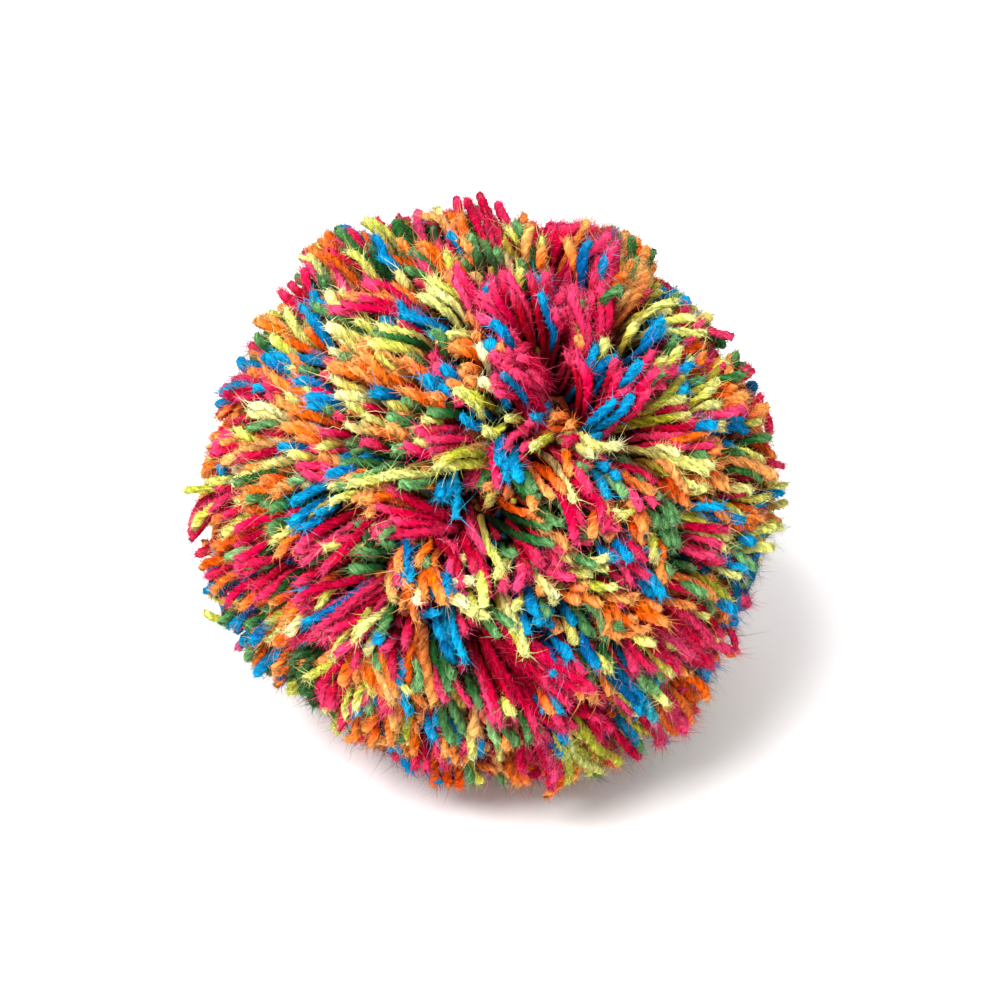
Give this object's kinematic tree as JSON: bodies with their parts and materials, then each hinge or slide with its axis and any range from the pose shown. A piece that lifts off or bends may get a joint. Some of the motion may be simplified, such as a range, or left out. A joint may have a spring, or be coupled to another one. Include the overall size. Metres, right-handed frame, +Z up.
{
  "type": "yarn pom pom",
  "caption": "Fluffy ball of cut plied yarn in mixed bright colours, with tufts that lean away from a winding parting, resting on a small flat spot.",
  "frame": {"origin": "on the surface that the ball rests on, under the middle of its width and depth", "axes": "+Z up, -Y towards the front, where the parting shows near the top, +X to the right seen from the front"},
  "size_m": [0.101, 0.1004, 0.0947],
  "materials": {
    "yarn": "soft two-ply yarn dyed in short lengths of hot pink, orange, lime yellow, bright blue and forest green, with blunt cut ends and a haze of loose fibres"
  },
  "bodies": {
    "root": {"pom_pom": "yarn"}
  },
  "joints": []
}
